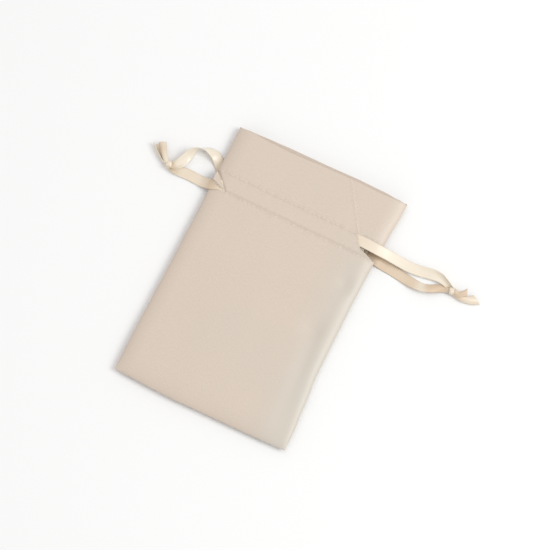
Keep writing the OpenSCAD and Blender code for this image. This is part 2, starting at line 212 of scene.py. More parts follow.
# Corners of the openings in the front (1) and back (-1) panels on each side, x and y in millimetres
OPENINGS = {
    (1, 1): [(33.8, 48.1), (35.2, 45.5), (38.9, 41.6), (48.8, 38.6), (51.0, 38.4), (51.0, 48.1)],
    (1, -1): [(-51.0, 42.0), (-49.9, 42.0), (-44.0, 39.6), (-42.6, 39.6), (-43.2, 38.4), (-51.0, 38.4)],
    (-1, 1): [(44.5, 48.1), (44.5, 38.4), (51.0, 38.4), (51.0, 48.1)],
    (-1, -1): [(-51.0, 48.1), (-41.6, 48.1), (-41.6, 38.4), (-51.0, 38.4)],
}
# The opening in each hem starts here, beside the ribbons, and stops short of the stitches by the gap
HEM_HOLE_FROM = 0.0412
HEM_HOLE_TO = 0.0600
HEM_HOLE_GAP = 0.0003

# How the soft outline strays from a rectangle. Rows hold a place along the edge and how far the edge
# lies outwards there, in millimetres.
SIDE_STRAY = {
    -1: ((-76, 1.0), (-50, 1.1), (-30, 0.7), (0, 0.4), (30, 0.2), (78, 0.4)),
    1: (
        (-76, 0.8), (-65, 0.8), (-50, -0.3), (-30, -1.8), (10, -2.0), (30, -1.7), (55, -0.7), (68, 0.2),
        (78, 0.4),
    ),
}
BOTTOM_STRAY = (
    (-50, 0.6), (-40, 1.2), (-30, 1.7), (-15, 2.1), (0, 1.8), (20, 1.6), (35, 1.4), (50, 0.9),
)
MOUTH_STRAY = {
    1: (
        (-50, -0.2), (-44, -0.4), (-30, -1.1), (-20, -1.4), (-10, -1.2), (0, -0.7), (10, -0.4),
        (20, -0.3), (36, -0.5), (50, 0.2),
    ),
    -1: (
        (-50, 0.4), (-44, 1.2), (-30, 1.7), (-20, 2.0), (0, 2.1), (20, 2.5), (36, 2.3), (44, 1.7),
        (50, 0.9),
    ),
}
# The outline strays only beyond these places, in metres
STRAY_FROM_X = 0.036
STRAY_FROM_Y = -0.050

# The flap that the left ribbon lifts: a point on its crease, the way across the crease, how wide the
# crease is, and where the flap fades out along y and x
CREASE_POINT = (-0.0496, 0.0479)
CREASE_WAY = (-0.731, -0.683)
CREASE_WIDTH = 0.0006
CREASE_DEPTH = 0.0007
FLAP_STEP = 0.0010
FLAP_Y = (0.0388, 0.0396, 0.0479, 0.0485)
FLAP_FROM_X = -0.040

# Soft dents beside the right edge: x and y of the middle, reach in x and y, and depth, in millimetres
DENTS = ((40.5, 20.0, 5.2, 5.0, 0.9), (34.5, -10.0, 6.2, 6.5, 0.8))
# The slack hollow that runs down beside that edge: its x, how far it leans, reach, depth, in metres
HOLLOW_X = 0.0370
HOLLOW_LEAN = 0.10
HOLLOW_REACH = 0.0055
HOLLOW_DEPTH = 0.0008
# How far to the side the pull of a row of stitches and the puckers beside it reach
PULL_REACH = 0.0011
PUCKER_REACH = 0.0032
# How far the back panel stands off the table outside the casing
BACK_LIFT = 0.0004
# Soft unevenness of the front: height and waves per metre
UNEVEN = ((0.00028, 22), (0.00012, 60))
# The seam that has turned on to the front of the heading: its foot, lean, ridge and the dip beside it
HEADING_SEAM_FOOT = 0.0343
HEADING_SEAM_LEAN = 0.0157 / 0.0246
SEAM_RIDGE = 0.00016
SEAM_DIP = 0.00012

# The casing's rows of stitches: piece, panel, y, and the x where the row starts and ends
STITCH_ROWS = (
    ("front_upper_stitch", 1, HIGH_Y, -0.0490, 0.0335),
    ("front_lower_stitch", 1, LOW_Y, -0.0445, 0.0485),
    ("back_upper_stitch", -1, HIGH_Y, -0.0410, 0.0485),
    ("back_lower_stitch", -1, LOW_Y, -0.0485, 0.0440),
)
# How far the seams lie from the edge, and how high they and the turned seam lie over the outer face
SEAM_INSET = 0.0006
SEAM_LIFT = -0.00048
TURNED_SEAM_LIFT = -0.00002
# Whipped edging of the openings: piece, side, the edge's line in x and y, and how many turns it has
EDGINGS = (
    ("right_slit_edging", 1, ((0.0357, 0.0450), (0.0389, 0.0416), (0.0480, 0.03885)), 11),
    ("left_slit_edging", -1, ((-0.0490, 0.0410), (-0.0434, 0.0398)), 4),
)
# One turn of edging: how far each point lies beyond the edge and over the cloth, and the thread's radius
EDGING_TURN = ((-0.0011, 0.0), (-0.0006, 0.00016), (0.0, 0.0001), (0.00016, -0.00012), (0.0, -0.00030))
EDGING_RADIUS = 0.00016

# The seams' allowance beyond the plain rectangle, in each panel's flat size
ALLOWANCE = 0.0012
# Flat length of a heading, from the lower stitches over the mouth and down to the end of the hem
HEADING_LENGTH = 0.078
# Grid steps round the edge rolls of pieces with openings, and of the plain ones
FINE_TURN_STEPS = 36
TURN_STEPS = 11

# The run inside the casing: its heights at front and back, how far the two runs lie apart in height and
# in y from the middle, how far its turn lies from the side, and places along x from the middle
RUN_TOP = 0.0055
RUN_BASE = 0.0006
RUN_LIFT = 0.00017
RUN_SHIFT = 0.0021
RUN_TURN_INSET = 0.0125
RUN_PLACES = (-0.02, 0.0, 0.02, 0.031, 0.0352)

# ---- Sizes and colours ----


def length(name, description, default):
    """A property that holds a length in metres."""
    return FloatProperty(
        name=name, description=description, default=default, min=0.0, unit="LENGTH", precision=5
    )


def colour(name, description, default):
    """A property that holds a linear colour."""
    return FloatVectorProperty(
        name=name, description=description, default=default, size=3, min=0.0, max=1.0, subtype="COLOR"
    )


class SACK_PG_cloth(PropertyGroup):
    """Sizes of the two satin panels."""

    thickness: length("Cloth thickness", "Thickness of the satin", 0.00022)
    roll: length("Side roll", "Width of the soft roll along the sides", 0.009)
    foot: length("Bottom roll", "Width of the soft roll along the bottom", 0.013)
    front_rise: length("Front rise", "Height of the front panel over the side seams", 0.0031)
    ridge: length("Casing ridge", "How far the casing stands over the rest of the front", 0.00045)
    groove: length("Stitch groove", "How deep the stitches pull the cloth down", 0.00022)
    pucker: length("Pucker", "Height of the puckers beside the stitches", 0.00016)
    flap: length("Flap height", "Height of the flap that the left ribbon lifts", 0.00325)
    fold: length("Fold radius", "Radius of the fold along the mouth", 0.0004)
    hem: length("Hem", "How far the hem runs on below the lower stitches", 0.0025)
    channel: length("Channel", "Room for the ribbons between the panel and its hem", 0.00045)
    gather_depth: length("Gather depth", "How far below the casing the cloth is drawn in", 0.07)


class SACK_PG_thread(PropertyGroup):
    """Sizes of the stitching."""

    pitch: length("Stitch pitch", "From one stitch to the next", 0.0027)
    stitch: length("Stitch length", "Visible length of one stitch", 0.0021)
    width: length("Thread width", "Width of the sewing thread", 0.00036)


class SACK_PG_ribbon(PropertyGroup):
    """Sizes of the drawstring ribbon."""

    width: length("Ribbon width", "Width of the flat ribbon", 0.006)
    thickness: length("Ribbon thickness", "Thickness of the ribbon", 0.0002)
    left_loop: length("Left loop", "Length of the free left ribbon with its ends in the casing", 0.0915)
    right_loop: length("Right loop", "Length of the free right ribbon, likewise", 0.1155)
    steps: IntProperty(name="Steps", description="Steps between two points of a route", default=7, min=1)


class SACK_PG_colours(PropertyGroup):
    """Colours of the cloth, the ribbon and the thread."""

    satin: colour("Satin", "Champagne satin", (0.665, 0.565, 0.475))
    satin_shade: colour("Satin shade", "Darker weft of the satin", (0.60, 0.50, 0.41))
    # Faint random warm patches, painted to stand in for soft reflections
    satin_warm_and_reflection: colour("Satin warmth", "Warm patches of the satin", (0.69, 0.56, 0.46))
    # Painted sheen and shade: cooler, darker satin towards the right edge, also used for faint random
    # cool patches that stand in for soft reflections
    satin_cool_and_sheen_shade: colour("Satin lee", "Cool tone of the satin on the right", (0.585, 0.545, 0.475))
    satin_inside: colour("Satin inside", "Dull back of the satin", (0.52, 0.45, 0.38))
    ribbon: colour("Ribbon", "Cream ribbon", (0.85, 0.77, 0.64))
    ribbon_shade: colour("Ribbon shade", "Warmer tone along the ribbon", (0.80, 0.70, 0.55))
    # Painted shade: tan tone where the ribbon's sheen turns away from the light
    ribbon_painted_shade: colour("Ribbon warmth", "Tan tone where the sheen turns away", (0.66, 0.50, 0.35))
    ribbon_edge: colour("Ribbon edge", "Line inside each woven edge", (0.84, 0.76, 0.64))
    thread: colour("Thread", "Pale thread", (0.86, 0.78, 0.68))
    edging: colour("Edging", "Pale edging thread", (0.80, 0.74, 0.64))


class SACK_PG_stage(PropertyGroup):
    """Camera, floor and light."""

    azimuth: FloatProperty(
        name="Azimuth", description="Turn of the camera round the sack", default=math.radians(26.2),
        subtype="ANGLE", unit="ROTATION",
    )
    elevation: FloatProperty(
        name="Elevation", description="Height of the camera over the horizon", default=math.radians(75),
        subtype="ANGLE", unit="ROTATION",
    )
    distance: length("Camera distance", "From the camera to the sack", 2.479)
    lens: FloatProperty(
        name="Lens", description="Focal length", default=300.0, subtype="DISTANCE_CAMERA"
    )
    aim: FloatVectorProperty(
        name="Aim", description="Point that the camera looks at", default=(0.003, 0.0098, 0.0), size=3,
        subtype="TRANSLATION", unit="LENGTH",
    )
    floor: colour("Floor", "Pale floor", (0.90, 0.90, 0.90))
    floor_reach: length("Floor reach", "From the middle of the floor to its edge", 3.0)
    floor_drop: length("Floor drop", "How far the floor lies below the sack", 0.0001)
    world: FloatProperty(
        name="World", description="Strength of the light from all round", default=0.76, min=0.0
    )
    world_tint: colour("World colour", "Colour of the light from all round", (1.0, 0.985, 0.985))
    key: FloatProperty(
        name="Key light", description="Power of the large light on the right", default=9.5, min=0.0,
        unit="POWER",
    )
    key_tint: colour("Key colour", "Colour of the key light", (0.965, 1.0, 0.985))
    fill: FloatProperty(
        name="Fill light", description="Power of the light above", default=2.0, min=0.0, unit="POWER"
    )
    fill_tint: colour("Fill colour", "Colour of the fill light", (1.0, 0.99, 0.98))


# ---- Shader maths ----


class Value:
    """Wraps a socket that carries a number, so that an expression adds the Math nodes it needs."""

    def __init__(self, shader, socket):
        self.shader = shader
        self.socket = socket

    def join(self, operation, *values):
        """A Math node on one or two values."""
        inputs = dict(enumerate(values))
        return self.shader.add("ShaderNodeMath", {"operation": operation}, inputs).value()

    def __add__(self, other):
        return self.join("ADD", self, other)

    def __sub__(self, other):
        return self.join("SUBTRACT", self, other)

    def __rsub__(self, other):
        return self.join("SUBTRACT", other, self)

    def __mul__(self, other):
        return self.join("MULTIPLY", self, other)

    def size(self):
        """The value without its sign."""
        return self.join("ABSOLUTE", self)

    def over(self, start, end):
        """0 below start, 1 above end and a soft step in between."""
        settings = {"interpolation_type": "SMOOTHSTEP"}
        return self.shader.add("ShaderNodeMapRange", settings, {0: self, 1: start, 2: end}).value()


class Node:
    """One node, with short ways to its outputs."""

    def __init__(self, shader, node):
        self.shader = shader
        self.node = node

    def out(self, name=0):
        """The output socket with that name or number."""
        return self.node.outputs[name]

    def value(self, name=0):
        """That output as a Value."""
        return Value(self.shader, self.out(name))


class Shader:
    """A material's node tree in the making."""

    def __init__(self, name):
        self.material = bpy.data.materials.new(name)
        self.material.use_nodes = True
        self.tree = self.material.node_tree
        self.tree.nodes.clear()

    def add(self, kind, settings=None, inputs=None):
        """Adds a node: its settings first, then the values or links of its sockets."""
        node = self.tree.nodes.new(kind)
        for key, setting in (settings or {}).items():
            setattr(node, key, setting)
        for key, given in (inputs or {}).items():
            socket = node.inputs[key]
            if isinstance(given, Value):
                given = given.socket
            if isinstance(given, bpy.types.NodeSocket):
                self.tree.links.new(given, socket)
            else:
                socket.default_value = given
        return Node(self, node)

    def noise(self, vector, scale, detail):
        """A noise value from 0 to 1."""
        inputs = {"Vector": vector, "Scale": scale, "Detail": detail, "Roughness": 0.5}
        return self.add("ShaderNodeTexNoise", {}, inputs).value("Fac")

    def grain(self, vector, *scale):
        """A noise value whose grain has its own scale along each part of the vector."""
        settings = {"operation": "MULTIPLY"}
        stretched = self.add("ShaderNodeVectorMath", settings, {0: vector, 1: scale}).out()
        return self.noise(stretched, 1.0, 2.0)

    def mix(self, share, first, second):
        """A colour between two others."""
        node = self.add("ShaderNodeMix", {"data_type": "RGBA"}, {"Factor": share}).node
        for socket, given in zip(node.inputs[6:8], (first, second)):
            if isinstance(given, bpy.types.NodeSocket):
                self.tree.links.new(given, socket)
            else:
                socket.default_value = (*given, 1.0)
        return node.outputs[2]

    def finish(self, colour_link, rough, bump, bump_depth, even):
        """The finished material: colour, roughness and bump vary, and even holds what doesn't."""
        heights = {"Height": bump, "Strength": 1.0, "Distance": bump_depth}
        relief = self.add("ShaderNodeBump", {}, heights)
        inputs = {"Base Color": colour_link, "Roughness": rough, "Normal": relief.out(), **even}
        surface = self.add("ShaderNodeBsdfPrincipled", {}, inputs)
        self.add("ShaderNodeOutputMaterial", {}, {"Surface": surface.out()})
        return self.material


def satin_material(colours):
    """Satin: long floats along the cloth with fine weft lines, a soft sheen, faint random patches that
    stand in for painted soft reflections, and painted sheen and shade towards the right edge.
    """
    shader = Shader("champagne satin")
    place = shader.add("ShaderNodeUVMap", {"uv_map": "weave"}).out()
    spot = shader.add("ShaderNodeTexCoord").out("Object")
    floats = shader.grain(place, 3400.0, 900.0, 1.0)
    slubs = shader.grain(place, 500.0, 2200.0, 1.0)
    cloud = shader.noise(spot, 42.0, 3.0)
    broad = shader.noise(spot, 13.0, 1.0)
    grain = shader.grain(place, 1300.0, 800.0, 1.0)
    weave = (floats * 0.4 + slubs * 0.2 + grain * 0.4).over(0.3, 0.7)
    tone = shader.mix(weave, colours.satin_shade, colours.satin)
    # Faint random warm patches, painted to stand in for soft reflections on the satin
    painted_light = shader.mix(cloud.over(0.35, 0.7) * 0.16, tone, colours.satin_warm_and_reflection)
    parts = shader.add("ShaderNodeSeparateXYZ", {}, {0: spot})
    # Painted sheen and shade: the satin turns cooler and darker towards the right edge and fades out
    # towards the mouth; the broad noise adds random cool patches that stand in for soft reflections
    edge_sheen_shade = parts.value("X").over(0.018, 0.047) * (1 - parts.value("Y").over(0.020, 0.060)) * 0.75
    cool_and_sheen_shaded = shader.mix(broad.over(0.45, 0.75) * 0.16 + edge_sheen_shade, painted_light, colours.satin_cool_and_sheen_shade)
    rough = floats * 0.08 + cloud * 0.10 + 0.36
    bump = floats * 0.6 + slubs * 0.4
    even = {"Sheen Weight": 0.15, "Sheen Roughness": 0.4, "Specular IOR Level": 0.75}
    return shader.finish(cool_and_sheen_shaded, rough, bump, 0.00002, even)


def inside_material(colours):
    """The dull inside face of the satin."""
    shader = Shader("satin inside")
    place = shader.add("ShaderNodeUVMap", {"uv_map": "weave"}).out()
    grain = shader.grain(place, 2600.0, 1500.0, 1.0)
    slubs = shader.grain(place, 220.0, 800.0, 1.0)
    tone = shader.mix(grain.over(0.3, 0.7) * 0.5, colours.satin_inside, colours.satin_shade)
    return shader.finish(tone, slubs * 0.15 + 0.6, grain, 0.00003, {"Sheen Weight": 0.15})


def ribbon_material(colours):
    """Satin ribbon: fine floats along it, a line inside each woven edge, a soft gloss and painted shade
    where its sheen turns away from the light.
    """
    shader = Shader("cream satin ribbon")
    uv = shader.add("ShaderNodeUVMap", {"uv_map": "weave"})
    across = shader.add("ShaderNodeSeparateXYZ", {}, {0: uv.out()}).value("Y").size()
    painted_shade = shader.add("ShaderNodeAttribute", {"attribute_name": "painted_shade"}).out("Fac")
    floats = shader.grain(uv.out(), 700.0, 6000.0, 1.0)
    streaks = shader.grain(uv.out(), 50.0, 1300.0, 1.0)
    selvedge = across.over(0.00235, 0.0026) - across.over(0.0028, 0.003)
    tone = shader.mix(streaks.over(0.3, 0.75) * 0.45, colours.ribbon, colours.ribbon_shade)
    tone = shader.mix(selvedge * 0.25, tone, colours.ribbon_edge)
    # Painted shade: tan where the ribbon's sheen turns away from the light, by the share given at each
    # ring
    tone = shader.mix(painted_shade, tone, colours.ribbon_painted_shade)
    rough = floats * 0.10 + selvedge * 0.1 + 0.27
    bump = floats * 0.4 + streaks * 0.3 + selvedge * 0.6
    even = {"Sheen Weight": 0.15, "Sheen Roughness": 0.4, "Specular IOR Level": 0.9}
    return shader.finish(tone, rough, bump, 0.00002, even)


def thread_material(name, tint):
    """Twisted sewing thread."""
    shader = Shader(name)
    spot = shader.add("ShaderNodeTexCoord").out("Object")
    twist = shader.grain(spot, 1900.0, 1900.0, 1900.0)
    shade = tuple(0.78 * part for part in tint)
    tone = shader.mix(twist.over(0.3, 0.7), shade, tint)
    return shader.finish(tone, twist * 0.2 + 0.5, twist, 0.00005, {"Sheen Weight": 0.3})


MATERIALS = {}


def material(name):
    """The material with that short name, made when it is first asked for."""
    if name not in MATERIALS:
        colours = bpy.context.scene.sack_colours
        makers = {
            "satin": lambda: satin_material(colours),
            "inside": lambda: inside_material(colours),
            "ribbon": lambda: ribbon_material(colours),
            "thread": lambda: thread_material("pale thread", colours.thread),
            "edging": lambda: thread_material("edging thread", colours.edging),
        }
        MATERIALS[name] = makers[name]()
    return MATERIALS[name]


# ---- Helpers for meshes ----


def smoothstep(start, end, x):
    """0 before start, 1 after end, and a soft step in between."""
    t = min(max((x - start) / (end - start), 0.0), 1.0)
    return t * t * (3 - 2 * t)


def stray(rows, place):
    """The stray in metres at a place along the edge, on a smooth line through the rows."""
    place /= MM
    for (a, low), (b, high) in zip(rows, rows[1:]):
        if place <= b:
            return (low + (high - low) * smoothstep(a, b, place)) * MM
    return rows[-1][1] * MM


def bell(x, centre, width):
    """A soft hump of height 1."""
    return math.exp(-(((x - centre) / width) ** 2))


def ahead_at(spots, i):
    """The way along a line of spots at one of them."""
    return (spots[min(i + 1, len(spots) - 1)] - spots[max(i - 1, 0)]).normalized()


def write_weave(bm, along, across):
    """Writes a ribbon's own map from the two values at its vertices."""
    uv = bm.loops.layers.uv.new("weave")
    for face in bm.faces:
        for loop in face.loops:
            loop[uv].uv = (loop.vert[along], loop.vert[across])


def new_object(name, bm, slot_name, *materials):
    """Links an object with the bmesh's shape and its materials."""
    mesh = bpy.data.meshes.new(name)
    bm.to_mesh(mesh)
    bm.free()
    made = bpy.data.objects.new(name, mesh)
    bpy.context.scene.collection.objects.link(made)
    for each in materials:
        mesh.materials.append(material(each))
    mesh.polygons.foreach_set("use_smooth", [True] * len(mesh.polygons))
    return made


def catmull(rows, steps):
    """Rows of numbers on a smooth line through the given rows."""
    ends = [rows[0], *rows, rows[-1]]
    out = []
    for i in range(len(rows) - 1):
        a, b, c, d = ends[i : i + 4]
        for k in range(steps):
            t = k / steps
            square, cube = t ** 2, t ** 3
            middle = (2 - 5 * square + 3 * cube, t + 4 * square - 3 * cube)
            shares = (2 * square - t - cube, *middle, cube - square)
            columns = zip(a, b, c, d)
            out.append(tuple(sum(f * v for f, v in zip(shares, column)) / 2 for column in columns))
    out.append(tuple(rows[-1]))
    return out


def curl_angle(ratio):
    """Half the angle of an arc whose chord is that share of its length."""
    angle = math.sqrt(max(6 * (1 - ratio), 1e-6))
    for _ in range(6):
        slope = (angle * math.cos(angle) - math.sin(angle)) / angle ** 2
        angle -= (math.sin(angle) / angle - ratio) / slope
    return angle


class Strip:
    """A ribbon in the making: its rings follow one another and are joined by extruding."""

    POINTS = 9

    def __init__(self, ribbon, curl=1, full=None, pleat=0.0):
        self.full = full or ribbon.width
        self.thick = ribbon.thickness
        self.pleat = pleat
        self.curl = curl
        self.bm = bmesh.new()
        self.along = self.bm.verts.layers.float.new("along")
        self.across = self.bm.verts.layers.float.new("across")
        # Layer for the share of painted shade at each ring, where the ribbon's sheen turns away from the
        # light
        self.painted_light = self.bm.verts.layers.float.new("painted_shade")
        self.end = None
        self.travel = 0.0
        self.centre = None
        self.path = []

    def section(self, width):
        """Points round the ribbon's section, as (across, lift, place on the flat ribbon)."""
        ratio = min(width / self.full, 0.9985)
        angle = curl_angle(ratio)
        radius = self.full / (2 * angle)
        lift = radius * (math.cos(angle) + 1) / 2 - radius
        top, under = [], []
        for k in range(self.POINTS):
            share = 2 * k / (self.POINTS - 1) - 1
            share = math.copysign(abs(share) ** 0.8, share)
            turn = angle * share
            half = self.thick / 2 * (0.6 if k in (0, self.POINTS - 1) else 1.0)
            fold = self.pleat * math.cos(math.pi * k)
            for points, gap in ((top, half), (under, -half)):
                r = radius + gap * self.curl
                height = self.curl * (r * math.cos(turn) - radius * math.cos(angle) + lift) + fold
                points.append((r * math.sin(turn), height, share * self.full / 2))
        return top + under[::-1]

    def place(self, centre, side, ahead, width, painted_shade=0.3, slant=0.0):
        """Adds the ring at centre, with its flat direction along side."""
        side = (side - ahead * side.dot(ahead)).normalized()
        face = ahead.cross(side)
        if self.centre is not None:
            self.travel += (centre - self.centre).length
        self.centre = centre
        self.path.append(centre)
        section = self.section(width)
        spots = [centre + side * a + face * b + ahead * (slant * c / self.full) for a, b, c in section]
        if self.end is None:
            made = bmesh.ops.create_circle(self.bm, segments=len(section), radius=MM, cap_ends=True)
            self.end = made["verts"][0].link_faces[0]
            order = range(len(section))
        else:
            order = [loop.vert.index for loop in self.end.loops]
            cap = self.end
            grown = bmesh.ops.extrude_face_region(self.bm, geom=[cap])["geom"]
            self.end = next(part for part in grown if isinstance(part, bmesh.types.BMFace))
            if len(self.path) > 2:
                bmesh.ops.delete(self.bm, geom=[cap], context="FACES_ONLY")
        for loop, k in zip(self.end.loops, order):
            vert = loop.vert
            vert.co = spots[k]
            vert.index = k
            vert[self.along] = self.travel
            vert[self.across] = section[k][2]
            vert[self.painted_light] = painted_shade

    def done(self, name):
        """Writes the ribbon's own map, turns its faces outwards and links it."""
        bmesh.ops.recalc_face_normals(self.bm, faces=self.bm.faces)
        write_weave(self.bm, self.along, self.across)
        return new_object(name, self.bm, "ribbon", "ribbon")


def rolled(rows):
    """Frames (centre, side, ahead, width, share of painted shade) along rows of x, y, z, roll, width and
    share of painted shade.
    """
    spots = [Vector(row[:3]) for row in rows]
    out = []
    for i, row in enumerate(rows):
        ahead = ahead_at(spots, i)
        level = Vector((0, 0, 1)).cross(ahead).normalized()
        roll = math.radians(row[3])
        side = level * math.cos(roll) + ahead.cross(level) * math.sin(roll)
        out.append((spots[i], side, ahead, row[4], row[5]))
    return out


def from_end(side, x, y, z):
    """Where a place lies that is given in millimetres from the casing's end on that side."""
    return side * SIDE_X + x * MM, MID_Y + y * MM, z * MM


def on_side(route, side):
    """A route's rows in metres, moved to the casing's end on that side."""
    return [(*from_end(side, *spot), roll, width * MM, painted_shade) for *spot, roll, width, painted_shade in route]


def sweep(name, frames, curl=1, slant=0.0):
    """A ribbon along frames. A slanted cut end reaches slant further on one edge."""
    strip = Strip(bpy.context.scene.sack_ribbon, curl)
    last = frames[-1][0]
    for centre, side, ahead, width, painted_shade in frames:
        near = 1 - smoothstep(0.0, 0.003, (last - centre).length)
        strip.place(centre, side, ahead, width, painted_shade, slant * near)
    return strip.done(name), strip.path


def thread_sweep(bm, spots, radius):
    """Adds a thread along spots to a bmesh."""
    ring = None
    for i, spot in enumerate(spots):
        turn = ahead_at(spots, i).to_track_quat("Z", "Y").to_matrix().to_4x4()
        taper = 0.55 if i in (0, len(spots) - 1) else 1.0
        matrix = Matrix.Translation(spot) @ turn @ Matrix.Scale(taper, 4)
        made = bmesh.ops.create_circle(bm, segments=6, radius=radius, matrix=matrix, cap_ends=i == 0)
        edges = list(dict.fromkeys(edge for vert in made["verts"] for edge in vert.link_edges))
        if ring is not None:
            bmesh.ops.bridge_loops(bm, edges=ring + edges)
        ring = edges
    bmesh.ops.contextual_create(bm, geom=ring)


# ---- The cloth ----


def unrolled(distance, roll):
    """Length along an edge roll up to a distance from the flat part."""
    return roll * math.asin(min(max(distance / roll, 0.0), 1.0))


class Cloth:
    """Where one panel lies. up is 1 for the front panel, and -1 for the back panel on the table."""

    def __init__(self, up):
        self.up = up
        self.size = bpy.context.scene.sack_cloth
        self.flat_x = SIDE_X - self.size.roll
        self.foot_y = BOTTOM_Y + self.size.foot
        self.base = self.size.front_rise if up > 0 else SEAM_Z
        self.hem_start = MOUTH_Y + math.pi * self.size.fold

    def placed(self, x, y):
        """Where a point of the plain rectangle lies once the soft outline is followed."""
        side = 1 if x > 0 else -1
        out = stray(SIDE_STRAY[side], y) * smoothstep(STRAY_FROM_X, SIDE_X, abs(x))
        down = stray(BOTTOM_STRAY, x) * smoothstep(STRAY_FROM_Y, BOTTOM_Y, y)
        if y > HIGH_Y:
            y += stray(MOUTH_STRAY[self.up], x) * (y - HIGH_Y) / (MOUTH_Y - HIGH_Y)
        return x + side * out, y - down

    def past_crease(self, x, y):
        """How far a point lies beyond the flap's crease."""
        return CREASE_WAY[0] * (x - CREASE_POINT[0]) + CREASE_WAY[1] * (y - CREASE_POINT[1])

    def flap_share(self, x, y):
        """1 on the flap at the casing's left end, beyond its crease, and 0 on the rest."""
        foot, low, high, top = FLAP_Y
        window = smoothstep(top, high, y) * smoothstep(foot, low, y)
        return smoothstep(0.0, FLAP_STEP, self.past_crease(x, y)) * window

    def crease(self, x, y):
        """How near a point is to the crease that bounds the flap, from 0 to 1."""
        near = bell(self.past_crease(x, y), 0.0002, CREASE_WIDTH)
        return near * smoothstep(0.0484, 0.0474, y) * smoothstep(-0.0405, -0.0425, x)

    def in_casing(self, y, step):
        """1 between the two rows of stitches and 0 outside, with soft steps inside the rows."""
        return smoothstep(LOW_Y, LOW_Y + step, y) * smoothstep(HIGH_Y, HIGH_Y - step, y)

    def rise(self, x, y):
        """Height of the outer face over the side seams, before the edges roll down."""
        size = self.size
        line_gap = min(abs(y - LOW_Y), abs(y - HIGH_Y))
        pull = bell(line_gap, 0.0, PULL_REACH)
        near = bell(line_gap, 0.0, PUCKER_REACH)
        ripple = noise.noise(Vector((x * 330, y * 150, 7.0 * self.up)))
        ripple += 0.5 * noise.noise(Vector((x * 700, y * 260, 2.0 * self.up)))
        height = self.base
        if self.up < 0:
            outside = smoothstep(LOW_Y - 0.001, LOW_Y, y) * (1 - self.in_casing(y, 0.0012))
            height -= BACK_LIFT * outside
            height -= size.pucker * 0.8 * near * max(ripple, -0.2) + size.groove * 0.4 * pull
            return height
        height += size.ridge * self.in_casing(y, 0.002)
        height += size.pucker * near * ripple - size.groove * pull
        for depth, waves in UNEVEN:
            height += depth * noise.noise(Vector((x, y, 3.0)) * waves)
        for dent_x, dent_y, reach_x, reach_y, depth in DENTS:
            dent = bell(x / MM, dent_x, reach_x) * bell(y / MM, dent_y, reach_y)
            height -= depth * MM * dent
        hollow = bell(x + HOLLOW_LEAN * y, HOLLOW_X, HOLLOW_REACH)
        height -= HOLLOW_DEPTH * hollow * smoothstep(0.01, -0.03, y)
        seam_x = self.heading_seam_x(y)
        height += SEAM_RIDGE * bell(x, seam_x, 0.0008) * smoothstep(HIGH_Y - 0.001, HIGH_Y + 0.002, y)
        height -= SEAM_DIP * bell(x, seam_x + 0.0012, 0.0006) * smoothstep(HIGH_Y, HIGH_Y + 0.002, y)
        return height

    def heading_seam_x(self, y):
        """Where the seam that has turned on to the front runs up the heading."""
        return HEADING_SEAM_FOOT - HEADING_SEAM_LEAN * (y - HIGH_Y)

    def rest_point(self, p, q):
        """Outer face at p and q, which run on round the rolls at their own width per radian."""
        roll, foot = self.size.roll, self.size.foot
        over_x = max(abs(p) - self.flat_x, 0.0) / roll
        x = math.copysign(self.flat_x + roll * math.sin(over_x), p) if over_x > 0 else p
        over_y = max(self.foot_y - q, 0.0) / foot
        y = self.foot_y - foot * math.sin(over_y) if over_y > 0 else q
        height = self.rise(x, y) * math.cos(over_x) * math.cos(over_y)
        if self.up > 0 and x < FLAP_FROM_X:
            height += (self.size.flap - height) * self.flap_share(x, y)
            height -= CREASE_DEPTH * self.crease(x, y)
        return Vector((*self.placed(x, y), SEAM_Z + self.up * height))

    def unroll(self, x, y):
        """p and q of a point of the pattern."""
        p, q = x, y
        if abs(x) > self.flat_x:
            p = math.copysign(self.flat_x + unrolled(abs(x) - self.flat_x, self.size.roll), x)
        if y < self.foot_y:
            q = self.foot_y - unrolled(self.foot_y - y, self.size.foot)
        return p, q

    def outer(self, x, y):
        """(point, outward normal, way to the mouth) of the outer face at a point short of the mouth."""
        p, q = self.unroll(x, y)
        step = 0.1 * MM
        way_x = self.rest_point(p + step, q) - self.rest_point(p - step, q)
        way_y = self.rest_point(p, q + step) - self.rest_point(p, q - step)
        normal = way_x.cross(way_y).normalized() * self.up
        return self.rest_point(p, q), normal, way_y.normalized()

    def lay(self, x, y, depth):
        """(point, normal) of the cloth at a pattern point, depth below its outer face.

        The pattern runs on past the mouth, round the fold and down the hem.
        """
        fold = self.size.fold
        if y <= MOUTH_Y:
            spot, normal, _ = self.outer(x, y)
            return spot - normal * depth, normal
        if y <= self.hem_start:
            spot, normal, way = self.outer(x, MOUTH_Y)
            turn = (y - MOUTH_Y) / fold
            facing = normal * math.cos(turn) + way * math.sin(turn)
            return spot + normal * (-fold) + facing * (fold - depth), facing
        back = y - self.hem_start
        below = MOUTH_Y - back
        spot, normal, _ = self.outer(x, below)
        drop = 2 * fold + self.size.channel * self.in_casing(below, 0.002)
        drop -= 0.0001 * smoothstep(0, 0.004, back)
        return spot - normal * (drop - depth), -normal


def spaced(stops):
    """Positions through stops of (position, spacing up to the next stop)."""
    out = [stops[0][0]]
    for (start, gap), (end, _) in zip(stops, stops[1:]):
        count = max(1, round(abs(end - start) / gap))
        out += [start + (end - start) * k / count for k in range(1, count + 1)]
    return out


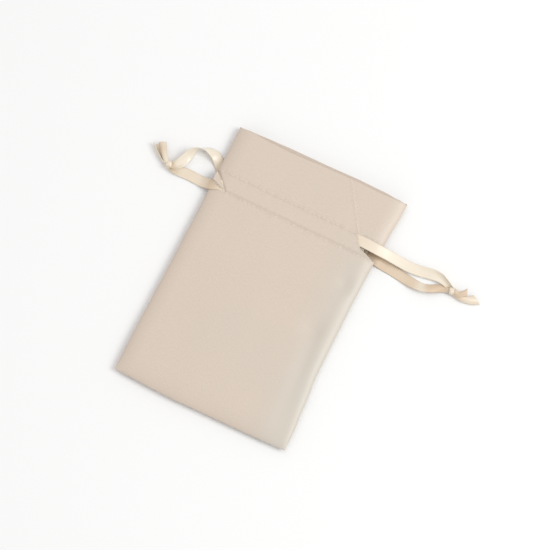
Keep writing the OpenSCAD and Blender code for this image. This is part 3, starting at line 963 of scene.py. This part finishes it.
def pattern_lines(cloth, steps):
    """Grid lines of a panel's pattern across and along, closer where the cloth is creased."""
    roll = cloth.size.roll
    turns = [math.pi / 2 * k / steps for k in range(1, steps + 1)]
    edge = [cloth.flat_x + roll * math.sin(turn) for turn in turns]
    flat = spaced([(-cloth.flat_x, 0.001), (0.0, 0.001), (cloth.flat_x, 1)])
    across = [-x for x in reversed(edge)] + flat + edge
    foot = [cloth.foot_y - cloth.size.foot * math.sin(turn) for turn in reversed(turns)]
    hem_end = cloth.hem_start + MOUTH_Y - LOW_Y + cloth.size.hem
    stops = [
        (cloth.foot_y, 0.002), (LOW_Y - 0.006, 0.0006), (LOW_Y, 0.00032), (HIGH_Y, 0.0006),
        (HIGH_Y + 0.006, 0.0011), (MOUTH_Y, cloth.size.fold * math.pi / 6), (cloth.hem_start, 0.0012),
        (cloth.hem_start + MOUTH_Y - HIGH_Y, 0.0008), (hem_end, 1),
    ]
    return across, foot + spaced(stops)


def inside(corners, x, y):
    """Whether a point lies in the polygon."""
    hit = False
    for (ax, ay), (bx, by) in zip(corners, corners[1:] + corners[:1]):
        if (ay > y) != (by > y) and x < ax + (bx - ax) * (y - ay) / (by - ay):
            hit = not hit
    return hit


def cut_opening(bm, corners):
    """Cuts an opening with the given corners out of a flat pattern."""
    margin = 2 * MM
    ranges = [(min(line) - margin, max(line) + margin) for line in zip(*corners)]
    (low_x, high_x), (low_y, high_y) = ranges
    for (ax, ay), (bx, by) in zip(corners, corners[1:] + corners[:1]):
        near = []
        for face in bm.faces:
            middle = face.calc_center_median()
            if low_x < middle.x < high_x and low_y < middle.y < high_y:
                near.append(face)
        if not near:
            return
        edges = dict.fromkeys(edge for face in near for edge in face.edges)
        verts = dict.fromkeys(vert for face in near for vert in face.verts)
        geom = [*near, *edges, *verts]
        outward = (by - ay, ax - bx, 0)
        bmesh.ops.bisect_plane(bm, geom=geom, dist=1e-6, plane_co=(ax, ay, 0), plane_no=outward)
    gone = [f for f in bm.faces if inside(corners, *f.calc_center_median().xy)]
    bmesh.ops.delete(bm, geom=gone, context="FACES")


def keep(bm, point, outward):
    """Cuts a pattern along a line and keeps what lies behind it."""
    bmesh.ops.bisect_plane(
        bm, geom=bm.verts[:] + bm.edges[:] + bm.faces[:], dist=1e-6, plane_co=(*point, 0),
        plane_no=(*outward, 0), clear_outer=True,
    )


def cut_pattern(cloth, cuts, openings):
    """A panel's pattern, cut flat: x runs across it, and y along it, over the mouth and into the hem."""
    across, along = pattern_lines(cloth, FINE_TURN_STEPS if openings else TURN_STEPS)
    bm = bmesh.new()
    nx, ny = len(across) - 1, len(along) - 1
    bmesh.ops.create_grid(bm, x_segments=nx, y_segments=ny, size=1)
    for vert in bm.verts:
        i, j = round((vert.co.x + 1) / 2 * nx), round((vert.co.y + 1) / 2 * ny)
        vert.co = Vector((across[i], along[j], 0))
    for point, outward in cuts:
        keep(bm, point, outward)
    for corners in openings:
        cut_opening(bm, corners)
    return bm


def make_panel(name, cloth, cuts, openings):
    """Cuts one piece of a panel flat, gives it its thickness and lays it in place."""
    bm = cut_pattern(cloth, cuts, openings)
    grown = bmesh.ops.extrude_face_region(bm, geom=bm.faces[:])["geom"]
    for part in grown:
        if isinstance(part, bmesh.types.BMVert):
            part.co.z -= cloth.size.thickness
    bmesh.ops.recalc_face_normals(bm, faces=bm.faces)
    uv = bm.loops.layers.uv.new("weave")
    facing = []
    for face in bm.faces:
        facing.append(round(face.normal.z))
        face.material_index = 1 if face.normal.z < -0.5 else 0
        for loop in face.loops:
            loop[uv].uv = cloth.unroll(loop.vert.co.x, min(loop.vert.co.y, 1.0))
    laid = [cloth.lay(v.co.x, v.co.y, -v.co.z) for v in bm.verts]
    for vert, (spot, _) in zip(bm.verts, laid):
        vert.co = spot
    if cloth.up < 0:
        bmesh.ops.reverse_faces(bm, faces=bm.faces[:])
    bm.normal_update()
    made = new_object(name, bm, "satin", "satin", "inside")
    mesh = made.data
    normals = [None] * len(mesh.loops)
    for face, way in zip(mesh.polygons, facing):
        for k in face.loop_indices:
            normal = laid[mesh.loops[k].vertex_index][1] * way if way else face.normal
            normals[k] = tuple(normal)
    mesh.normals_split_custom_set(normals)
    return made


def gathered(piece):
    """Bakes the piece's placement into its mesh."""
    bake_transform(piece)


# ---- Operators ----


def route_frames(route, side):
    """Frames along a route on that side."""
    return rolled(catmull(on_side(route, side), bpy.context.scene.sack_ribbon.steps))


class SACK_OT_camera(Operator):
    """Sets up the camera that looks down on the sack"""

    bl_idname = "sack.camera"
    bl_label = "Camera"

    def execute(self, context):
        stage = context.scene.sack_stage
        data = bpy.data.cameras.new("camera")
        data.type = "PERSP"
        data.lens = stage.lens
        data.sensor_width = 36.0
        data.clip_start, data.clip_end = 0.05, 50.0
        camera = bpy.data.objects.new("camera", data)
        context.scene.collection.objects.link(camera)
        back = Vector((0, -math.cos(stage.elevation), math.sin(stage.elevation)))
        back.rotate(Matrix.Rotation(stage.azimuth, 3, "Z"))
        camera.location = Vector(stage.aim) + back * stage.distance
        camera.rotation_mode = "QUATERNION"
        camera.rotation_quaternion = (-back).to_track_quat("-Z", "Y")
        context.scene.camera = camera
        return {"FINISHED"}


def knot_band(ribbon, lean, shift, size, width, painted_shade):
    """One turn of ribbon drawn tight round the knot, as a mesh."""
    strip = Strip(ribbon, 1, width, 0.00009)
    tilt = Matrix.Rotation(math.radians(lean), 4, "Z")
    for k in range(BAND_STEPS + 1):
        angle = 2 * math.pi * k / BAND_STEPS * 0.985 + 0.6
        pinch = size * (1 + 0.06 * math.sin(3 * angle + lean))
        cosine, sine = math.cos(angle), math.sin(angle)
        spot = Vector((shift, cosine * BAND_RING[0] * pinch, sine * BAND_RING[1] * pinch))
        ahead = Vector((0, -sine * BAND_RING[0], cosine * BAND_RING[1])).normalized()
        bunched = width * (0.93 + 0.06 * math.sin(2 * angle))
        strip.place(tilt @ spot, tilt @ Vector((1, 0, 0)), tilt @ ahead, bunched, painted_shade)
    mesh = bpy.data.meshes.new("band")
    bmesh.ops.recalc_face_normals(strip.bm, faces=strip.bm.faces)
    strip.bm.to_mesh(mesh)
    strip.bm.free()
    return mesh


def make_knot(side):
    """An overhand knot: a bunched core with two turns of ribbon drawn tight round it."""
    name = SIDE_NAME[side]
    bm = bmesh.new()
    along = bm.verts.layers.float.new("along")
    across = bm.verts.layers.float.new("across")
    for vert in bmesh.ops.create_uvsphere(bm, u_segments=20, v_segments=14, radius=1)["verts"]:
        angle = math.atan2(vert.co.z, vert.co.y)
        crimp = 1 + 0.12 * math.sin(5 * angle + 4 * vert.co.x)
        vert[along] = vert.co.x * 0.003
        vert[across] = 0.002 * math.sin(angle)
        vert.co *= Vector(CORE_SIZE)
        vert.co.yz *= crimp
    for band in BANDS:
        mesh = knot_band(bpy.context.scene.sack_ribbon, *band)
        bm.from_mesh(mesh)
        bpy.data.meshes.remove(mesh)
    place = Matrix.Translation(from_end(side, *KNOT_PLACE[side]))
    turn = Matrix.Rotation(math.radians(KNOT_TURN[side]), 4, "Z")
    bmesh.ops.transform(bm, matrix=place @ turn, verts=bm.verts)
    write_weave(bm, along, across)
    made = new_object(name + "_knot_turns", bm, "ribbon", "ribbon")
    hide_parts(name + "_knot")
    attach(made, name + "_drawstring")
    return made


class SACK_OT_loops(Operator):
    """Makes the two ribbon loops with their knots and tails"""

    bl_idname = "sack.loops"
    bl_label = "Ribbon loops"

    def execute(self, context):
        ribbon = context.scene.sack_ribbon
        for side, total in ((-1, ribbon.left_loop), (1, ribbon.right_loop)):
            name = SIDE_NAME[side]
            body = name + "_drawstring"
            pieces = [make_knot(side)]
            for tail, route, slant, curl in TAILS[side]:
                made, _ = sweep(tail + "_end", route_frames(route, side), curl, slant)
                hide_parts(tail)
                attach(made, body)
                pieces.append(made)
            front, back = (route_frames(route, side)[::-1] for route in ROUTES[side])
            frames = [(c, s, -a, *rest) for c, s, a, *rest in front]
            heart = Vector(from_end(side, *KNOT_HEART[side]))
            way = (heart - frames[-1][0]).normalized()
            frames.append((heart, frames[-1][1], way, HEART_WIDTH * MM, 0.5))
            frames += [(c, s, -a, *rest) for c, s, a, *rest in back]
            loop, path = sweep(name + "_ribbon_loop", frames)
            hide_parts(name + "_front_strand", name + "_back_strand")
            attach(loop, body)
        return {"FINISHED"}


class SACK_OT_runs(Operator):
    """Makes the part of each ribbon that runs inside the casing"""

    bl_idname = "sack.runs"
    bl_label = "Ribbon runs"

    def execute(self, context):
        width = context.scene.sack_ribbon.width * 0.998
        for side in (-1, 1):
            front, back = (on_side(route, side) for route in ROUTES[side])
            start, end = front[-1][:3], back[0][:3]
            front_y, back_y = MID_Y + side * RUN_SHIFT, MID_Y - side * RUN_SHIFT
            top, base = RUN_TOP + side * RUN_LIFT, RUN_BASE + side * RUN_LIFT
            far = -side * (SIDE_X - RUN_TURN_INSET)
            middle, radius = (top + base) / 2, (top - base) / 2
            rows = [start, (side * min(SIDE_X - 0.0155, abs(start[0]) - 0.004), front_y, top)]
            rows += [(x * -side, front_y, top) for x in RUN_PLACES]
            for k in range(7):
                angle = math.pi * k / 6
                y = front_y + (back_y - front_y) * smoothstep(0, math.pi, angle)
                x = far - side * radius * math.sin(angle)
                rows.append((x, y, middle + radius * math.cos(angle)))
            rows += [(x * -side, back_y, base) for x in reversed(RUN_PLACES)]
            rows += [(side * (SIDE_X - 0.010), back_y, base), end]
            spots = [Vector(row) for row in catmull(rows, 5)]
            across = Vector((0, -side, 0))
            frames = [(spot, across, ahead_at(spots, i), width, 0.3) for i, spot in enumerate(spots)]
            made, _ = sweep(SIDE_NAME[side] + "_casing_run", frames)
            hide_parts(SIDE_NAME[side] + "_ribbon_run")
            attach(made, SIDE_NAME[side] + "_drawstring")
        return {"FINISHED"}


class SACK_OT_panels(Operator):
    """Cuts both panels flat and lays them in place, in pieces: a heading and a wedge on each side, and
    the body
    """

    bl_idname = "sack.panels"
    bl_label = "Panels"

    def execute(self, context):
        size = context.scene.sack_cloth
        slope = Vector((size.gather_depth, SIDE_X)).normalized()
        for up, panel in ((1, "front"), (-1, "back")):
            cloth = Cloth(up)
            hem_line = cloth.hem_start + MOUTH_Y
            hem_low, hem_high = hem_line - HIGH_Y + HEM_HOLE_GAP, hem_line - LOW_Y - HEM_HOLE_GAP
            below = ((0, LOW_Y), (0, 1))
            above = ((0, LOW_Y), (0, -1))
            pieces = []
            for side in (-1, 1):
                middle = ((0, 0), (-side, 0))
                start, end = side * HEM_HOLE_FROM, side * HEM_HOLE_TO
                hem_hole = [(start, hem_low), (start, hem_high), (end, hem_high), (end, hem_low)]
                slit = [(x * MM, y * MM) for x, y in OPENINGS[up, side]]
                name = f"{panel}_{SIDE_NAME[side]}"
                part = make_panel(name + "_heading", cloth, [middle, above], [slit, hem_hole])
                gathered(part)
                pieces.append((part, (SIDE_X + ALLOWANCE, HEADING_LENGTH)))
                slant = ((0, LOW_Y), (-side * slope.x, -slope.y))
                part = make_panel(name + "_wedge", cloth, [middle, below, slant], [])
                gathered(part)
                pieces.append((part, (SIDE_X + ALLOWANCE, size.gather_depth)))
            sides = [((0, LOW_Y), (side * slope.x, slope.y)) for side in (-1, 1)]
            body = make_panel(panel + "_body", cloth, [below, *sides], [])
            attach(body, ROOT)
            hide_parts(panel + "_panel")
            for part, flat in pieces:
                area = flat[0] * flat[1] / 2 if "wedge" in part.name else None
            flat = (2 * (SIDE_X + ALLOWANCE), LOW_Y - BOTTOM_Y + ALLOWANCE)
            wedges = (SIDE_X + ALLOWANCE) * size.gather_depth
            flat[0] * flat[1] - wedges
        return {"FINISHED"}


def stitches(name, cloth, ends, node, lift=0.00012):
    """A row of stitches laid on a cloth between pairs of ends, each pair (start, end) in x and y."""
    width = bpy.context.scene.sack_thread.width
    bm = bmesh.new()
    for pair in ends:
        spots = [cloth.outer(*point) for point in pair]
        a, b = (spot + normal * lift for spot, normal, _ in spots)
        normal = (spots[0][1] + spots[1][1]).normalized()
        way = b - a
        across = normal.cross(way).normalized()
        turn = Matrix((way.normalized(), across, normal)).transposed().to_4x4()
        size = Matrix.Diagonal((way.length / 2, width / 2, width * 0.42, 1))
        place = Matrix.Translation((a + b) / 2) @ turn @ size
        bmesh.ops.create_uvsphere(bm, u_segments=8, v_segments=5, radius=1, matrix=place)
    made = new_object(name, bm, "thread", "thread")
    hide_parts(node)
    return made


def row_ends(start, end):
    """Pairs of stitch ends along a straight line from start to end."""
    thread = bpy.context.scene.sack_thread
    start, end = Vector(start), Vector(end)
    count = max(1, int((end - start).length / thread.pitch))
    way = (end - start).normalized()
    gap = (end - start).length / count
    half = way * thread.stitch / 2
    out = []
    for k in range(count):
        middle = start + way * gap * (k + 0.5)
        wobble = Vector((-way.y, way.x)) * 0.00008 * math.sin(12.9 * k)
        out.append((tuple(middle - half + wobble), tuple(middle + half - wobble)))
    return out


class SACK_OT_casing_stitches(Operator):
    """Sews the four rows of stitches that bound the casing"""

    bl_idname = "sack.casing_stitches"
    bl_label = "Casing stitches"

    def execute(self, context):
        for node, up, y, start, end in STITCH_ROWS:
            cloth = Cloth(up)
            ends = row_ends((start, y), (end, y))
            for side in (-1, 1):
                half = [pair for pair in ends if (pair[0][0] + pair[1][0]) * side > 0]
                made = stitches(f"{node}_{SIDE_NAME[side]}", cloth, half, node)
                gathered(made)
        return {"FINISHED"}


class SACK_OT_seams(Operator):
    """Sews the side seams, the heading seams and the bottom seam"""

    bl_idname = "sack.seams"
    bl_label = "Seams"

    def execute(self, context):
        cloth = Cloth(1)
        edge = SIDE_X - SEAM_INSET
        for side in (-1, 1):
            name = SIDE_NAME[side] + "_side_seam"
            ends = row_ends((side * edge, BOTTOM_Y + 4 * MM), (side * edge, LOW_Y - 0.5 * MM))
            gathered(stitches(name + "_stitches", cloth, ends, name, SEAM_LIFT))
        ends = row_ends((-edge, HIGH_Y + MM), (-edge, MOUTH_Y - MM))
        name = "left_heading_seam"
        gathered(stitches(name + "_stitches", cloth, ends, name, SEAM_LIFT))
        ends = row_ends(*((cloth.heading_seam_x(y), y) for y in (HIGH_Y + MM, MOUTH_Y - 4.5 * MM)))
        name = "right_heading_seam"
        gathered(stitches(name + "_stitches", cloth, ends, name, TURNED_SEAM_LIFT))
        foot = BOTTOM_Y + SEAM_INSET
        ends = row_ends((4 * MM - SIDE_X, foot), (SIDE_X - 4 * MM, foot))
        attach(stitches("bottom_seam_stitches", cloth, ends, "bottom_seam", SEAM_LIFT), ROOT)
        return {"FINISHED"}


class SACK_OT_edging(Operator):
    """Whips the raw edges where the ribbons come out"""

    bl_idname = "sack.edging"
    bl_label = "Slit edging"

    def execute(self, context):
        cloth = Cloth(1)
        for node, side, line, count in EDGINGS:
            spots = [Vector(point) for point in line]
            total = sum((b - a).length for a, b in zip(spots, spots[1:]))
            bm = bmesh.new()
            for k in range(count):
                reach = total * (k + 0.5) / count
                for a, b in zip(spots, spots[1:]):
                    if reach <= (b - a).length:
                        break
                    reach -= (b - a).length
                way = (b - a).normalized()
                out = Vector((-way.y, way.x))
                on_edge = a + way * reach
                swing = 0.00025 * math.sin(7.3 * k)
                path = []
                for beyond, lift in EDGING_TURN:
                    point = on_edge + out * beyond - way * (swing * beyond / EDGING_TURN[0][0])
                    spot, normal, _ = cloth.outer(*point)
                    path.append(spot + normal * lift)
                thread_sweep(bm, path, EDGING_RADIUS)
            bmesh.ops.recalc_face_normals(bm, faces=bm.faces)
            made = new_object(node + "_threads", bm, "thread", "edging")
            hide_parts(node)
            gathered(made)
        return {"FINISHED"}


class SACK_OT_stage(Operator):
    """Lays the pale floor and sets up soft light"""

    bl_idname = "sack.stage"
    bl_label = "Stage"

    def execute(self, context):
        stage = context.scene.sack_stage
        bm = bmesh.new()
        bmesh.ops.create_grid(bm, x_segments=8, y_segments=8, size=stage.floor_reach)
        mesh = bpy.data.meshes.new("floor")
        bm.to_mesh(mesh)
        bm.free()
        floor = bpy.data.objects.new("floor", mesh)
        floor.location.z = -stage.floor_drop
        context.scene.collection.objects.link(floor)
        shader = Shader("pale floor")
        even = {"Base Color": (*stage.floor, 1.0), "Roughness": 0.9, "Specular IOR Level": 0.1}
        surface = shader.add("ShaderNodeBsdfPrincipled", {}, even)
        shader.add("ShaderNodeOutputMaterial", {}, {"Surface": surface.out()})
        mesh.materials.append(shader.material)
        world = bpy.data.worlds.new("soft light")
        world.use_nodes = True
        background = world.node_tree.nodes["Background"]
        background.inputs["Color"].default_value = (*stage.world_tint, 1.0)
        background.inputs["Strength"].default_value = stage.world
        context.scene.world = world
        lights = (
            ("key light", (0.98, 0.26, 1.12), 0.9, stage.key, stage.key_tint),
            ("top light", (-0.2, 0.3, 1.6), 1.4, stage.fill, stage.fill_tint),
        )
        for name, place, size, power, tint in lights:
            data = bpy.data.lights.new(name, "AREA")
            data.shape = "DISK"
            data.size = size
            data.energy = power
            data.color = tint
            light = bpy.data.objects.new(name, data)
            light.location = place
            light.rotation_euler = (-Vector(place)).to_track_quat("-Z", "Y").to_euler()
            context.scene.collection.objects.link(light)
        context.scene.view_settings.view_transform = "Standard"
        return {"FINISHED"}


OPERATORS = (
    SACK_OT_camera, SACK_OT_loops, SACK_OT_runs, SACK_OT_panels, SACK_OT_casing_stitches, SACK_OT_seams,
    SACK_OT_edging, SACK_OT_stage,
)
GROUPS = {
    "sack_cloth": SACK_PG_cloth, "sack_thread": SACK_PG_thread, "sack_ribbon": SACK_PG_ribbon,
    "sack_colours": SACK_PG_colours, "sack_stage": SACK_PG_stage,
}


class SACK_PT_sidebar(Panel):
    """Lists the sack's operators and sizes"""

    bl_idname = "SACK_PT_sidebar"
    bl_label = "Gift sack"
    bl_space_type = "VIEW_3D"
    bl_region_type = "UI"
    bl_category = "Gift sack"

    def draw(self, context):
        for group, kind in GROUPS.items():
            box = self.layout.box()
            box.label(text=kind.bl_rna.name)
            for key in kind.__annotations__:
                box.prop(getattr(context.scene, group), key)
        for operator in OPERATORS:
            self.layout.operator(operator.bl_idname)


def register():
    """Registers the classes and hangs the groups on the scene."""
    for kind in (*GROUPS.values(), *OPERATORS, SACK_PT_sidebar):
        bpy.utils.register_class(kind)
    for name, kind in GROUPS.items():
        setattr(bpy.types.Scene, name, PointerProperty(type=kind))


def unregister():
    """Takes the groups and classes away again."""
    for name in GROUPS:
        delattr(bpy.types.Scene, name)
    for kind in (SACK_PT_sidebar, *reversed(OPERATORS), *reversed(GROUPS.values())):
        bpy.utils.unregister_class(kind)


def main():
    """Builds everything in order."""
    register()
    bpy.ops.sack.camera()
    bpy.ops.sack.loops()
    bpy.ops.sack.runs()
    bpy.ops.sack.panels()
    bpy.ops.sack.casing_stitches()
    bpy.ops.sack.seams()
    bpy.ops.sack.edging()
    bpy.ops.sack.stage()


if __name__ == "__main__":
    main()
